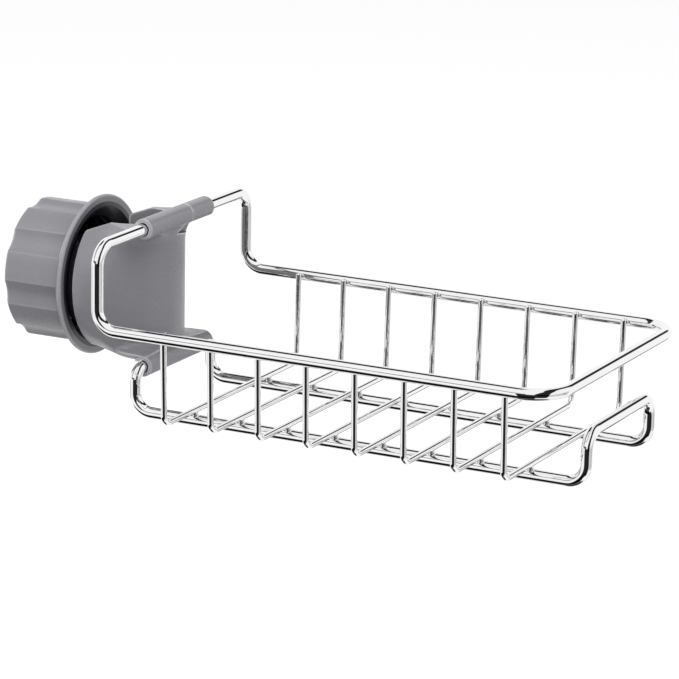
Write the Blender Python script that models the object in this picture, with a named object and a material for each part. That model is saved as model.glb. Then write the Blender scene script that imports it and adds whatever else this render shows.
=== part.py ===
"""Sink caddy: a bent wire basket that a plastic screw clamp holds on the spout of a tap.

Metres, +Z up. The origin lies on the axis of the pipe that the clamp grips, level with the
axis of the knob. The knob's axis is the X axis, and the basket reaches out along +X.
"""

import math

import bmesh
import bpy
from mathutils import Matrix, Vector

# Fits between pieces
FIT_GAP = 0.0003            # clearance where two pieces meet or slide
CUT_OVERRUN = 0.002         # how far a cutter runs past the face it opens
ROUND_SIDES = 48            # sides of a round bar or bore that has no count of its own
SHARP_ANGLE = 32            # degrees between faces, above which an edge shades sharp

# Pipe that the clamp grips, which is not part of the caddy
PIPE_DIAMETER = 0.024
PIPE_ABOVE_RIM = 0.0045     # height of the knob's axis above the plane of the basket's rim

# Wire stock
FRAME_WIRE = 0.0042         # diameter of the rim wire and the base wire
CROSS_WIRE = 0.0022         # diameter of the eight cross wires
FRAME_ARC_COUNT = 4         # bevel resolution: 12 sides
CROSS_ARC_COUNT = 2         # bevel resolution: 8 sides
BEND_STEPS = 6              # straight pieces in each bend

# Rim wire, centre lines
RISER_REACH = 0.0168        # from the pipe's axis to the uprights at the clamp
RIM_WIDTH = 0.1044
RIM_RISE = 0.0284           # from the rim up to the bar that the clamp holds
RIM_OVERHANG = 0.0182       # from the last cross wire to the far bar
RIM_BEND = 0.0072
RIM_CORNER_BEND = 0.0120

# Cross wires, centre lines
CROSS_COUNT = 8
CROSS_PITCH = 0.018
FIRST_CROSS_REACH = 0.0404  # from the pipe's axis to the first cross wire
CROSS_SPLAY = 0.0010        # how much further out each leg stands at the rim than at the floor
CROSS_TIP = 0.0012          # how far a leg's end stands above the middle of the rim
CROSS_BEND = 0.0036
FLOOR_DROP = 0.0312         # from the rim down to the floor of the basket

# Base wire, centre lines
BASE_WIDTH = 0.053
BASE_BAR_DROP = 0.0202      # from the rim down to the bar that the clamp holds
UPSTAND_DROP = 0.0178       # from the rim down to the far bar
BASE_OVERHANG = 0.0198      # from the last cross wire to the far bar
BASE_BEND = 0.0066

# Sleeves of the clamp, in which the two wires lie
SLEEVE_WALL = 0.00125
SLEEVE_LENGTH = 0.044
SLEEVE_SEAM = 0.007         # where the front hook meets the back hook, from the middle
SLEEVE_MOUTH = 0.0032       # snap-in slot, narrower than the wire
SLEEVE_EDGE = 0.0004
SLEEVE_LIP_DROP = 0.0026    # how far the far hook's lip reaches below the wire's middle
SLEEVE_SIDES = 32

# Clamp body
DISC_REACH = 0.0096         # from the pipe's axis back to the disc that faces the knob
DISC_DIAMETER = 0.0516
DISC_EDGE = 0.0010
DISC_TOP = 0.0193           # flat top of the disc, above the knob's axis
FOOT_RISE = 0.0020          # the body's foot stays this far above the lower bar's middle
SHOULDER_TOP = 0.0228       # level top between the pipe and the upper sleeve
SHOULDER_REACH = -0.0005    # where the sloped top of the walls meets the level top
SHOULDER_WIDTH = 0.0312     # across the top at that place, where it is narrowest
BODY_WALL = 0.0046          # material round the pipe channel at the front
TAPER_REACH = 0.0081        # where the straight taper of the sides runs into the round front
FLARE_TIP = 0.0016          # thickness of the flares at the sleeves' ends
FLARE_ROOT_TOP = 0.0150     # where the upper flares leave the waist
FLARE_ROOT_BOTTOM = 0.0176
FLARE_INSET = 0.0007        # the flares stop just short of the sleeves' ends
DISC_ARC_SHARES = (0.93, 0.64, -0.86, -1.24, -1.3)     # places round the disc, of its top corner
STRETCH_POINTS = (4, 5, 4, 4, 5, 3)     # on the half outline, from the top's middle to the foot's
STRAIGHT_RINGS = 7          # rings of the loft along the straight taper
FRONT_RING_SHARES = (0.15, 0.35, 0.55, 0.75, 0.9, 0.985)    # rings along the round front
EDGE_ROUND_SHARE = 0.3      # middle point of a small rounded edge

# Notch in front of the upper far hook, where only the back web is left
NOTCH_START = -0.0005       # its point on the round front, from the middle
NOTCH_POINT = 0.0185        # height of that point
NOTCH_SILL_REACH = 0.0083   # where its lower edge leaves the round front
NOTCH_SILL = 0.0173
NOTCH_END = 0.0150          # height of its lower edge at the sleeve's end

# Threaded prongs
PRONG_DIAMETER = 0.0404
PRONG_LENGTH = 0.0180
PRONG_SIDES = 64
PRONG_EDGE = 0.0008

# Saddle pad, the rubber strip in the channel
SADDLE_THICKNESS = 0.0015
SADDLE_HALF_ANGLE = 60.0
SADDLE_MARGIN = 0.0015      # bare channel above and below the strip
SADDLE_RIDGES = 7
SADDLE_GROOVE = 0.0005
SADDLE_RIDGE_SHARES = (0.7, 0.8, 0.9)   # ridge, slope down and groove floor in one pitch
SADDLE_STEPS = 20
CHANNEL_SIDES = 72

# Knob
KNOB_DIAMETER = 0.0492
KNOB_LENGTH = 0.0259        # from the flange's face to the closed end
KNOB_END_WALL = 0.0035
KNOB_CROWN = 0.0008
KNOB_EDGE = 0.0007
KNOB_EDGE_STEPS = 3
KNOB_STEPS = 96
CROWN_FLAT_SHARE = 0.35     # flat middle of the closed end, of the knob's radius
FLANGE_DIAMETER = 0.0567
FLANGE_THICKNESS = 0.0017
FLANGE_GAP = 0.0030         # from the disc to the flange's face at rest
COLLAR_LENGTH = 0.0022      # plain ring between the flutes and the flange
MOUTH_DIAMETER = 0.0483
MOUTH_DEPTH = 0.0034
FLUTE_COUNT = 8
FLUTE_WIDTH = 0.0090
FLUTE_DEPTH = 0.0015
FLUTE_SIDES = 48
FLUTE_TURN = 11.0           # degrees, turns the lobes to where they stand at rest

# Hub inside the knob, and the pressure block's stem that snaps into it
HUB_DIAMETER = 0.0140
STEM_DIAMETER = 0.0066
STEM_LENGTH = 0.0080
BEAD_HEIGHT = 0.0008
BEAD_LENGTH = 0.0018
BEAD_REACH = 0.0048         # from the block's back to the near side of the bead
STEM_EDGE = 0.0005
HUB_STEPS = 40

# Pressure block and its rubber pad
BLOCK_HEIGHT = 0.026
BLOCK_THICKNESS = 0.0080
BLOCK_CORNER = 0.0030
BLOCK_WALL = 0.0018
BLOCK_FLOOR = 0.0024
PAD_MARGIN = 0.0016         # rim of the block round the pad
PAD_SEAT = 0.0012           # how deep the pad sits in the block
PAD_THICKNESS = 0.0034      # at its middle
PAD_HOLLOW_RADIUS = 0.022
PAD_EDGE = 0.0006
PAD_HOLLOW_SIDES = 96
CORNER_SEGMENTS = 4

# Places worked out from the sizes above
RIM_LEVEL = -PIPE_ABOVE_RIM
TOP_BAR_LEVEL = RIM_LEVEL + RIM_RISE
BASE_BAR_LEVEL = RIM_LEVEL - BASE_BAR_DROP
FLOOR_LEVEL = RIM_LEVEL - FLOOR_DROP
FOOT_LEVEL = BASE_BAR_LEVEL + FOOT_RISE
BASE_LEVEL = FLOOR_LEVEL - CROSS_WIRE / 2 - FIT_GAP - FRAME_WIRE / 2
UPSTAND_LEVEL = RIM_LEVEL - UPSTAND_DROP
LAST_CROSS_REACH = FIRST_CROSS_REACH + (CROSS_COUNT - 1) * CROSS_PITCH
RIM_END = LAST_CROSS_REACH + RIM_OVERHANG
BASE_END = LAST_CROSS_REACH + BASE_OVERHANG
CROSS_HALF_TOP = RIM_WIDTH / 2 - FRAME_WIRE / 2 - CROSS_WIRE / 2 - FIT_GAP
CROSS_HALF_FLOOR = CROSS_HALF_TOP - CROSS_SPLAY
SLEEVE_BORE = FRAME_WIRE / 2 + FIT_GAP
SLEEVE_RADIUS = SLEEVE_BORE + SLEEVE_WALL
SLEEVE_START = RISER_REACH - SLEEVE_RADIUS
FLARE_HALF_WIDTH = SLEEVE_LENGTH / 2 - FLARE_INSET
CHANNEL_RADIUS = PIPE_DIAMETER / 2 + SADDLE_THICKNESS + FIT_GAP
FRONT_RADIUS = CHANNEL_RADIUS + BODY_WALL
DISC_RADIUS = DISC_DIAMETER / 2
PRONG_RADIUS = PRONG_DIAMETER / 2
FLANGE_FACE = -DISC_REACH - FLANGE_GAP
KNOB_END = FLANGE_FACE - KNOB_LENGTH
CAVITY_RADIUS = PRONG_RADIUS + FIT_GAP
CAVITY_END = KNOB_END + KNOB_END_WALL
PAD_FACE = -PIPE_DIAMETER / 2
PAD_BACK = PAD_FACE - PAD_THICKNESS
BLOCK_FACE = PAD_BACK + PAD_SEAT
BLOCK_BACK = BLOCK_FACE - BLOCK_THICKNESS
BLOCK_WIDTH = 2 * (CHANNEL_RADIUS - FIT_GAP)


def clear_scene():
    for old in list(bpy.data.objects):
        bpy.data.objects.remove(old, do_unlink=True)


def make_collection(name):
    collection = bpy.data.collections.new(name)
    bpy.context.scene.collection.children.link(collection)
    return collection


def make_material(name, color, roughness, metallic):
    material = bpy.data.materials.new(name)
    material.use_nodes = True
    shader = material.node_tree.nodes["Principled BSDF"]
    shader.inputs["Base Color"].default_value = (*color, 1)
    shader.inputs["Roughness"].default_value = roughness
    shader.inputs["Metallic"].default_value = metallic
    return material


clear_scene()
parts = make_collection("sink_caddy")
cutters = make_collection("cutters")
bright_steel = make_material("bright_steel", (0.80, 0.80, 0.82), 0.10, 1)
grey_plastic = make_material("grey_plastic", (0.23, 0.23, 0.25), 0.38, 0)
knob_plastic = make_material("knob_plastic", (0.25, 0.25, 0.27), 0.40, 0)
inner_plastic = make_material("inner_plastic", (0.10, 0.10, 0.11), 0.45, 0)
black_rubber = make_material("black_rubber", (0.02, 0.02, 0.022), 0.70, 0)


def add_object(name, data, collection, material=None):
    made = bpy.data.objects.new(name, data)
    collection.objects.link(made)
    if material:
        data.materials.append(material)
    return made


def add_empty(name, location):
    empty = bpy.data.objects.new(name, None)
    empty.location = location
    parts.objects.link(empty)
    return empty


def shade_round(piece):
    piece.data.shade_smooth()
    piece.data.set_sharp_from_angle(angle=math.radians(SHARP_ANGLE))


def mesh_object(name, shape, collection, material=None):
    """Turns a bmesh into an object whose faces all point out."""
    bmesh.ops.recalc_face_normals(shape, faces=shape.faces)
    mesh = bpy.data.meshes.new(name)
    shape.to_mesh(mesh)
    shape.free()
    made = add_object(name, mesh, collection, material)
    if collection == cutters:
        made.hide_render = True
        made.display_type = "WIRE"
    return made


def box(name, low, high):
    """A box cutter from its lowest to its highest corner."""
    shape = bmesh.new()
    bmesh.ops.create_cube(shape, size=1)
    low, high = Vector(low), Vector(high)
    middle, size = (low + high) / 2, high - low
    for vertex in shape.verts:
        vertex.co = Vector(vertex.co[i] * size[i] + middle[i] for i in range(3))
    return mesh_object(name, shape, cutters)


def prism(name, outline, low, high):
    """A cutter with an outline of (y, z) points, from one place along X to another."""
    shape = bmesh.new()
    face = shape.faces.new([shape.verts.new((low, y, z)) for y, z in outline])
    moved = bmesh.ops.extrude_face_region(shape, geom=[face])["geom"]
    bmesh.ops.translate(shape, verts=[v for v in moved if isinstance(v, bmesh.types.BMVert)],
                        vec=(high - low, 0, 0))
    return mesh_object(name, shape, cutters)


def rod(name, axis, radius, start, end, centre=(0, 0), sides=ROUND_SIDES, edge=0, material=None):
    """A round bar along X, Y or Z; centre holds its place on the other two axes, in order."""
    shape = bmesh.new()
    bmesh.ops.create_cone(shape, cap_ends=True, segments=sides, radius1=radius, radius2=radius,
                          depth=end - start)
    if edge:
        rims = [e for e in shape.edges if abs(e.verts[0].co.z - e.verts[1].co.z) < edge / 2]
        bmesh.ops.bevel(shape, geom=rims, offset=edge, segments=2, profile=0.5, affect="EDGES")
    if axis == "X":
        turn, place = Matrix.Rotation(math.pi / 2, 4, "Y"), ((start + end) / 2, *centre)
    elif axis == "Y":
        turn, place = Matrix.Rotation(-math.pi / 2, 4, "X"), (centre[0], (start + end) / 2, centre[1])
    else:
        turn, place = Matrix.Identity(4), (*centre, (start + end) / 2)
    bmesh.ops.transform(shape, matrix=Matrix.Translation(place) @ turn, verts=shape.verts)
    return mesh_object(name, shape, parts if material else cutters, material)


def combine(piece, tool, operation="DIFFERENCE"):
    """Cuts or joins a piece with a tool, and keeps the result in the piece's mesh."""
    change = piece.modifiers.new(operation.lower(), "BOOLEAN")
    change.operation = operation
    change.object = tool
    change.solver = "EXACT"
    graph = bpy.context.evaluated_depsgraph_get()
    made = bpy.data.meshes.new_from_object(piece.evaluated_get(graph), depsgraph=graph)
    piece.modifiers.clear()
    old = piece.data
    piece.data = made
    bpy.data.meshes.remove(old)
    tool_data = tool.data
    bpy.data.objects.remove(tool, do_unlink=True)
    bpy.data.meshes.remove(tool_data)


def turned(name, profile, steps, collection, material=None):
    """Turns a profile of (x, radius) points about the X axis, from its outer side round."""
    shape = bmesh.new()
    points = [shape.verts.new((x, 0, radius)) for x, radius in profile]
    edges = [shape.edges.new(pair) for pair in zip(points, points[1:])]
    bmesh.ops.spin(shape, geom=points + edges, cent=(0, 0, 0), axis=(1, 0, 0),
                   angle=2 * math.pi, steps=steps, use_merge=True)
    bmesh.ops.remove_doubles(shape, verts=shape.verts, dist=FIT_GAP / 10)
    return mesh_object(name, shape, collection, material)


def rounded_route(corners, bends, closed):
    """Points along straight runs between corners, with a round bend at each corner."""
    route = []
    count = len(corners)
    for index, corner in enumerate(corners):
        corner = Vector(corner)
        if not closed and index in (0, count - 1):
            route.append(corner)
            continue
        before = (Vector(corners[index - 1]) - corner).normalized()
        after = (Vector(corners[(index + 1) % count]) - corner).normalized()
        half = before.angle(after) / 2
        centre = corner + (before + after).normalized() * bends[index] / math.sin(half)
        start = (corner + before * bends[index] / math.tan(half) - centre).normalized()
        end = (corner + after * bends[index] / math.tan(half) - centre).normalized()
        for step in range(BEND_STEPS + 1):
            route.append(centre + start.slerp(end, step / BEND_STEPS) * bends[index])
    return route


def bent_wire(name, corners, bends, diameter, rounds, closed):
    curve = bpy.data.curves.new(name, "CURVE")
    curve.dimensions = "3D"
    curve.bevel_depth = diameter / 2
    curve.bevel_resolution = rounds
    curve.use_fill_caps = True
    route = rounded_route(corners, bends, closed)
    spline = curve.splines.new("POLY")
    spline.points.add(len(route) - 1)
    for point, place in zip(spline.points, route):
        point.co = (*place, 1)
    spline.use_cyclic_u = closed
    spline.use_smooth = True
    return add_object(name, curve, parts, bright_steel)


def make_rim_wire():
    """One loop: the bar in the clamp, two uprights, two side rails and the far bar."""
    side = RIM_WIDTH / 2
    corners = [
        (RISER_REACH, -side, TOP_BAR_LEVEL),
        (RISER_REACH, -side, RIM_LEVEL),
        (RIM_END, -side, RIM_LEVEL),
        (RIM_END, side, RIM_LEVEL),
        (RISER_REACH, side, RIM_LEVEL),
        (RISER_REACH, side, TOP_BAR_LEVEL),
    ]
    bends = [RIM_BEND, RIM_BEND, RIM_CORNER_BEND, RIM_CORNER_BEND, RIM_BEND, RIM_BEND]
    return bent_wire("rim_wire", corners, bends, FRAME_WIRE, FRAME_ARC_COUNT, True)


def make_base_wire():
    """One loop: the bar in the clamp, two rails under the floor and the upstand at the far end."""
    side = BASE_WIDTH / 2
    corners = [
        (RISER_REACH, -side, BASE_BAR_LEVEL),
        (RISER_REACH, -side, BASE_LEVEL),
        (BASE_END, -side, BASE_LEVEL),
        (BASE_END, -side, UPSTAND_LEVEL),
        (BASE_END, side, UPSTAND_LEVEL),
        (BASE_END, side, BASE_LEVEL),
        (RISER_REACH, side, BASE_LEVEL),
        (RISER_REACH, side, BASE_BAR_LEVEL),
    ]
    drop = BASE_BAR_LEVEL - BASE_LEVEL
    beside_sleeve = min(side - SLEEVE_LENGTH / 2, drop / 2)
    bends = [beside_sleeve] + [BASE_BEND] * (len(corners) - 2) + [beside_sleeve]
    return bent_wire("base_wire", corners, bends, FRAME_WIRE, FRAME_ARC_COUNT, True)


def make_cross_wire(index):
    """A U of thin wire: its floor lies on the base wire, and its legs stand inside the rim."""
    reach = FIRST_CROSS_REACH + index * CROSS_PITCH
    tip = RIM_LEVEL + CROSS_TIP
    corners = [
        (reach, -CROSS_HALF_TOP, tip),
        (reach, -CROSS_HALF_FLOOR, FLOOR_LEVEL),
        (reach, CROSS_HALF_FLOOR, FLOOR_LEVEL),
        (reach, CROSS_HALF_TOP, tip),
    ]
    bends = [CROSS_BEND] * len(corners)
    name = f"cross_wire_{index + 1}"
    return bent_wire(name, corners, bends, CROSS_WIRE, CROSS_ARC_COUNT, False)


def taper_half_width(reach):
    """Half the width of the clamp body's waist: straight tapered sides, then a round front."""
    edge = math.sqrt(FRONT_RADIUS ** 2 - TAPER_REACH ** 2)
    if reach >= TAPER_REACH:
        return math.sqrt(max(FRONT_RADIUS ** 2 - reach ** 2, 0))
    share = (TAPER_REACH - reach) / (TAPER_REACH + DISC_REACH)
    return edge + (DISC_RADIUS - edge) * share


def ease(share):
    share = min(max(share, 0), 1)
    return share * share * (3 - 2 * share)


def top_face(reach):
    """Half the width and the level of the top: it slopes up from the disc, narrows and flares."""
    corner = math.sqrt(DISC_RADIUS ** 2 - DISC_TOP ** 2)
    narrow = SHOULDER_WIDTH / 2
    if reach < SHOULDER_REACH:
        share = (reach + DISC_REACH) / (SHOULDER_REACH + DISC_REACH)
        return corner + (narrow - corner) * share, DISC_TOP + (SHOULDER_TOP - DISC_TOP) * share
    share = ease((reach - SHOULDER_REACH) / (SLEEVE_START - SHOULDER_REACH))
    return narrow + (FLARE_HALF_WIDTH - narrow) * share, SHOULDER_TOP


def body_ring(reach, inset=0):
    """The clamp body's outline at one distance along X, as (y, z) points with y >= 0.

    At the disc it is a circle with a flat top; at the sleeves it is a waist with flares that
    run out to the sleeves' ends. Between them each point moves from the one to the other.
    """
    radius = DISC_RADIUS - inset
    corner = math.asin((DISC_TOP - inset) / radius)
    high_arc, high_side, low_side, low_arc, foot_arc = (corner * share for share in DISC_ARC_SHARES)
    spread = ease((reach + DISC_REACH) / (SLEEVE_START + DISC_REACH))
    waist = taper_half_width(reach) - inset
    top_half, top = top_face(reach)
    tip = top - FLARE_TIP
    foot = FOOT_LEVEL + FLARE_TIP
    ring = []

    def blend(angle, y, z):
        disc = (radius * math.cos(angle), radius * math.sin(angle))
        ring.append((disc[0] + (y - disc[0]) * spread, disc[1] + (z - disc[1]) * spread))

    def cove(turn, root, end):
        return (waist + (FLARE_HALF_WIDTH - waist) * (1 - math.cos(turn)),
                root + (end - root) * math.sin(turn))

    top_points, high_points, side_points, low_side_points, low_points, foot_points = STRETCH_POINTS
    for step in range(top_points + 1):
        ring.append(((top_half - inset) * step / top_points, top - inset))
    for step in range(high_points):
        share = step / high_points
        blend(high_arc + (high_side - high_arc) * share,
              *cove(math.pi / 2 * (1 - share), FLARE_ROOT_TOP, tip))
    for step in range(side_points):
        share = step / side_points
        blend(high_side * (1 - share), waist, FLARE_ROOT_TOP * (1 - share))
    for step in range(low_side_points):
        share = step / low_side_points
        blend(low_side * share, waist, -FLARE_ROOT_BOTTOM * share)
    for step in range(low_points + 1):
        share = step / low_points
        blend(low_side + (low_arc - low_side) * share,
              *cove(math.pi / 2 * share, -FLARE_ROOT_BOTTOM, foot))
    for step in range(foot_points + 1):
        share = step / foot_points
        blend(foot_arc + (-math.pi / 2 - foot_arc) * share, FLARE_HALF_WIDTH * (1 - share),
              FOOT_LEVEL)
    return ring


def make_body_shell():
    """Loft between the disc and the sleeves, as rings joined one to the next."""
    round_edge = DISC_EDGE * EDGE_ROUND_SHARE
    start = -DISC_REACH + DISC_EDGE
    reaches = [(-DISC_REACH, DISC_EDGE), (-DISC_REACH + round_edge, round_edge), (start, 0)]
    taper = TAPER_REACH - start
    straight = [start + taper * (step + 1) / STRAIGHT_RINGS for step in range(STRAIGHT_RINGS)]
    reaches += [(reach, 0) for reach in sorted(straight + [SHOULDER_REACH])]
    for share in FRONT_RING_SHARES:
        reaches.append((TAPER_REACH + (FRONT_RADIUS - TAPER_REACH) * share, 0))
    shape = bmesh.new()
    loops = []
    for reach, inset in reaches:
        half = body_ring(reach, inset)
        whole = half + [(-y, z) for y, z in half[-2:0:-1]]
        points = [shape.verts.new((reach, y, z)) for y, z in whole]
        loops.append([shape.edges.new(pair) for pair in zip(points, points[1:] + points[:1])])
    for near, far in zip(loops, loops[1:]):
        bmesh.ops.bridge_loops(shape, edges=near + far)
    for end in (loops[0], loops[-1]):
        bmesh.ops.edgeloop_fill(shape, edges=end)
    bmesh.ops.triangulate(shape, faces=shape.faces)
    return mesh_object("clamp_body", shape, parts, grey_plastic)


def cut_channel(body):
    """The open channel for the pipe: a round seat at the front, open towards the knob."""
    tall = DISC_DIAMETER
    seat = rod("channel_seat", "Z", CHANNEL_RADIUS, -tall, tall, sides=CHANNEL_SIDES)
    slot = box("channel_slot", (KNOB_END, -CHANNEL_RADIUS, -tall), (0, CHANNEL_RADIUS, tall))
    combine(seat, slot, "UNION")
    combine(body, seat)


def cut_sleeves(body):
    """Bores for the two bars, and the slots that turn each sleeve into a pair of hooks."""
    half = SLEEVE_LENGTH / 2 + CUT_OVERRUN
    mouth = SLEEVE_MOUTH / 2
    for name, level in (("top", TOP_BAR_LEVEL), ("base", BASE_BAR_LEVEL)):
        bore = rod(f"{name}_bore", "Y", SLEEVE_BORE, -half, half, (RISER_REACH, level))
        combine(body, bore)
        back = box(f"{name}_back_slot", (RISER_REACH - SLEEVE_RADIUS - CUT_OVERRUN, -half, level - mouth),
                   (RISER_REACH, SLEEVE_SEAM, level + mouth))
        combine(body, back)
        under = box(f"{name}_under_slot",
                    (RISER_REACH - mouth, SLEEVE_SEAM, level - SLEEVE_RADIUS - CUT_OVERRUN),
                    (RISER_REACH + mouth, half, level))
        combine(body, under)
    lip = TOP_BAR_LEVEL - SLEEVE_LIP_DROP
    outline = [(SLEEVE_SEAM, lip), (half, lip), (half, NOTCH_END), (NOTCH_SILL_REACH, NOTCH_SILL),
               (NOTCH_START, NOTCH_POINT)]
    combine(body, prism("web_notch", outline, RISER_REACH - mouth,
                        RISER_REACH + SLEEVE_RADIUS + CUT_OVERRUN))


def make_clamp_body():
    body = make_body_shell()
    half = SLEEVE_LENGTH / 2
    for name, level in (("top", TOP_BAR_LEVEL), ("base", BASE_BAR_LEVEL)):
        sleeve = rod(f"{name}_sleeve", "Y", SLEEVE_RADIUS, -half, half, (RISER_REACH, level),
                     sides=SLEEVE_SIDES, edge=SLEEVE_EDGE)
        combine(body, sleeve, "UNION")
    boss = rod("prong_boss", "X", PRONG_RADIUS, -DISC_REACH - PRONG_LENGTH, 0,
               sides=PRONG_SIDES, edge=PRONG_EDGE)
    combine(body, boss, "UNION")
    cut_channel(body)
    cut_sleeves(body)
    shade_round(body)
    return body


def make_saddle_pad():
    """A rubber strip that lines the round seat, with grip ridges across it."""
    top = SHOULDER_TOP - SADDLE_MARGIN
    bottom = FOOT_LEVEL + SADDLE_MARGIN
    outer = CHANNEL_RADIUS - FIT_GAP
    inner = outer - SADDLE_THICKNESS
    pitch = (top - bottom) / SADDLE_RIDGES
    profile = [(outer, top), (outer, bottom), (inner, bottom)]
    ridge_end, groove_start, groove_end = (pitch * share for share in SADDLE_RIDGE_SHARES)
    for ridge in range(SADDLE_RIDGES):
        low = bottom + ridge * pitch
        profile += [(inner, low + ridge_end), (inner + SADDLE_GROOVE, low + groove_start)]
        if ridge < SADDLE_RIDGES - 1:
            profile += [(inner + SADDLE_GROOVE, low + groove_end), (inner, low + pitch)]
    profile += [(inner + SADDLE_GROOVE, top)]
    angle = math.radians(SADDLE_HALF_ANGLE)
    shape = bmesh.new()
    start = [shape.verts.new((r * math.cos(angle), -r * math.sin(angle), z)) for r, z in profile]
    face = shape.faces.new(start)
    bmesh.ops.spin(shape, geom=[face], cent=(0, 0, 0), axis=(0, 0, 1), angle=2 * angle,
                   steps=SADDLE_STEPS, use_merge=False)
    pad = mesh_object("saddle_pad", shape, parts, black_rubber)
    shade_round(pad)
    return pad


def knob_profile():
    """Outer side of the knob from the axis at its end, round the flange and into the cavity."""
    knob, flange, edge = KNOB_DIAMETER / 2, FLANGE_DIAMETER / 2, KNOB_EDGE
    points = [(KNOB_END, 0), (KNOB_END, knob * CROWN_FLAT_SHARE)]
    for step in range(KNOB_EDGE_STEPS + 1):
        turn = math.pi / 2 * step / KNOB_EDGE_STEPS
        points.append((KNOB_END + KNOB_CROWN + edge * (1 - math.cos(turn)),
                       knob - edge + edge * math.sin(turn)))
    back = FLANGE_FACE - FLANGE_THICKNESS
    round_edge = FLANGE_THICKNESS * EDGE_ROUND_SHARE
    points += [(back - round_edge, knob), (back, knob + round_edge), (back, flange - round_edge),
               (back + round_edge, flange), (FLANGE_FACE - round_edge, flange),
               (FLANGE_FACE, flange - round_edge)]
    points += [(FLANGE_FACE, MOUTH_DIAMETER / 2), (FLANGE_FACE - MOUTH_DEPTH, CAVITY_RADIUS),
               (CAVITY_END, CAVITY_RADIUS)]
    hub = HUB_DIAMETER / 2
    hub_face = BLOCK_BACK - FIT_GAP
    bore = STEM_DIAMETER / 2 + FIT_GAP
    groove = bore + BEAD_HEIGHT
    groove_near = BLOCK_BACK - BEAD_REACH + FIT_GAP
    groove_far = BLOCK_BACK - BEAD_REACH - BEAD_LENGTH - FIT_GAP
    points += [(CAVITY_END, hub), (hub_face, hub), (hub_face, bore), (groove_near, bore),
               (groove_near, groove), (groove_far, groove), (groove_far, bore)]
    bore_end = BLOCK_BACK - STEM_LENGTH - FIT_GAP
    points += [(bore_end, bore), (bore_end, 0)]
    return points


def make_knob(axis):
    """The fluted screw knob: a turned cup with a flange, a hub and eight scooped flutes."""
    knob = turned("knob", knob_profile(), KNOB_STEPS, parts, knob_plastic)
    radius = KNOB_DIAMETER / 2
    half = FLUTE_WIDTH / 2
    depth = math.sqrt(radius ** 2 - half ** 2) - (radius - FLUTE_DEPTH)
    scoop = (half ** 2 + depth ** 2) / (2 * depth)
    reach = radius - FLUTE_DEPTH + scoop
    flute_end = FLANGE_FACE - FLANGE_THICKNESS - COLLAR_LENGTH
    for index in range(FLUTE_COUNT):
        turn = math.radians(FLUTE_TURN) + 2 * math.pi * index / FLUTE_COUNT
        cutter = rod(f"flute_{index + 1}", "X", scoop, KNOB_END - CUT_OVERRUN, flute_end,
                     (reach * math.cos(turn), reach * math.sin(turn)), sides=FLUTE_SIDES)
        combine(knob, cutter)
    shade_round(knob)
    carry(knob, axis)
    return knob


def carry(piece, axis):
    """Hangs a piece on the empty at its joint, and leaves it where it is."""
    piece.data.transform(Matrix.Translation(-axis.location))
    piece.parent = axis


def rounded_plate(name, width, height, corner, back, front, material=None):
    """A plate across X with rounded corners."""
    shape = bmesh.new()
    bmesh.ops.create_cube(shape, size=1)
    for vertex in shape.verts:
        vertex.co = Vector((vertex.co.x * (front - back) + (front + back) / 2,
                            vertex.co.y * width, vertex.co.z * height))
    along = [e for e in shape.edges if abs(e.verts[0].co.x - e.verts[1].co.x) > (front - back) / 2]
    bmesh.ops.bevel(shape, geom=along, offset=corner, segments=CORNER_SEGMENTS, profile=0.5,
                    affect="EDGES")
    return mesh_object(name, shape, parts if material else cutters, material)


def make_pressure_block(axis):
    """Slides between the prongs: a ribbed plate with a seat for the pad and a snap-in stem."""
    block = rounded_plate("pressure_block", BLOCK_WIDTH, BLOCK_HEIGHT, BLOCK_CORNER,
                          BLOCK_BACK, BLOCK_FACE, inner_plastic)
    seat = rounded_plate("pad_seat", BLOCK_WIDTH - 2 * PAD_MARGIN, BLOCK_HEIGHT - 2 * PAD_MARGIN,
                         BLOCK_CORNER, BLOCK_FACE - PAD_SEAT - FIT_GAP, BLOCK_FACE + CUT_OVERRUN)
    combine(block, seat)
    half_rib = BLOCK_WALL / 2
    floor = BLOCK_FACE - PAD_SEAT - FIT_GAP - BLOCK_FLOOR
    across, up = BLOCK_WIDTH / 2 - BLOCK_WALL, BLOCK_HEIGHT / 2 - BLOCK_WALL
    boss = HUB_DIAMETER / 2
    for side in (-1, 1):
        for level in (-1, 1):
            y_low, y_high = sorted((side * half_rib, side * across))
            z_low, z_high = sorted((level * half_rib, level * up))
            pocket = box(f"block_pocket_{side}_{level}", (BLOCK_BACK - CUT_OVERRUN, y_low, z_low),
                         (floor, y_high, z_high))
            keep = rod("boss_keep", "X", boss, BLOCK_BACK - 2 * CUT_OVERRUN, floor + CUT_OVERRUN)
            combine(pocket, keep)
            combine(block, pocket)
    radius = STEM_DIAMETER / 2
    tip = BLOCK_BACK - STEM_LENGTH
    bead_near, bead_far = BLOCK_BACK - BEAD_REACH, BLOCK_BACK - BEAD_REACH - BEAD_LENGTH
    profile = [(tip, 0), (tip, radius - STEM_EDGE), (tip + STEM_EDGE, radius), (bead_far, radius),
               (bead_far + BEAD_LENGTH / 2, radius + BEAD_HEIGHT), (bead_near, radius + BEAD_HEIGHT),
               (bead_near, radius), (BLOCK_BACK + BLOCK_FLOOR, radius), (BLOCK_BACK + BLOCK_FLOOR, 0)]
    stem = turned("stem", profile, HUB_STEPS, cutters)
    combine(block, stem, "UNION")
    shade_round(block)
    carry(block, axis)
    return block


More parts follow.
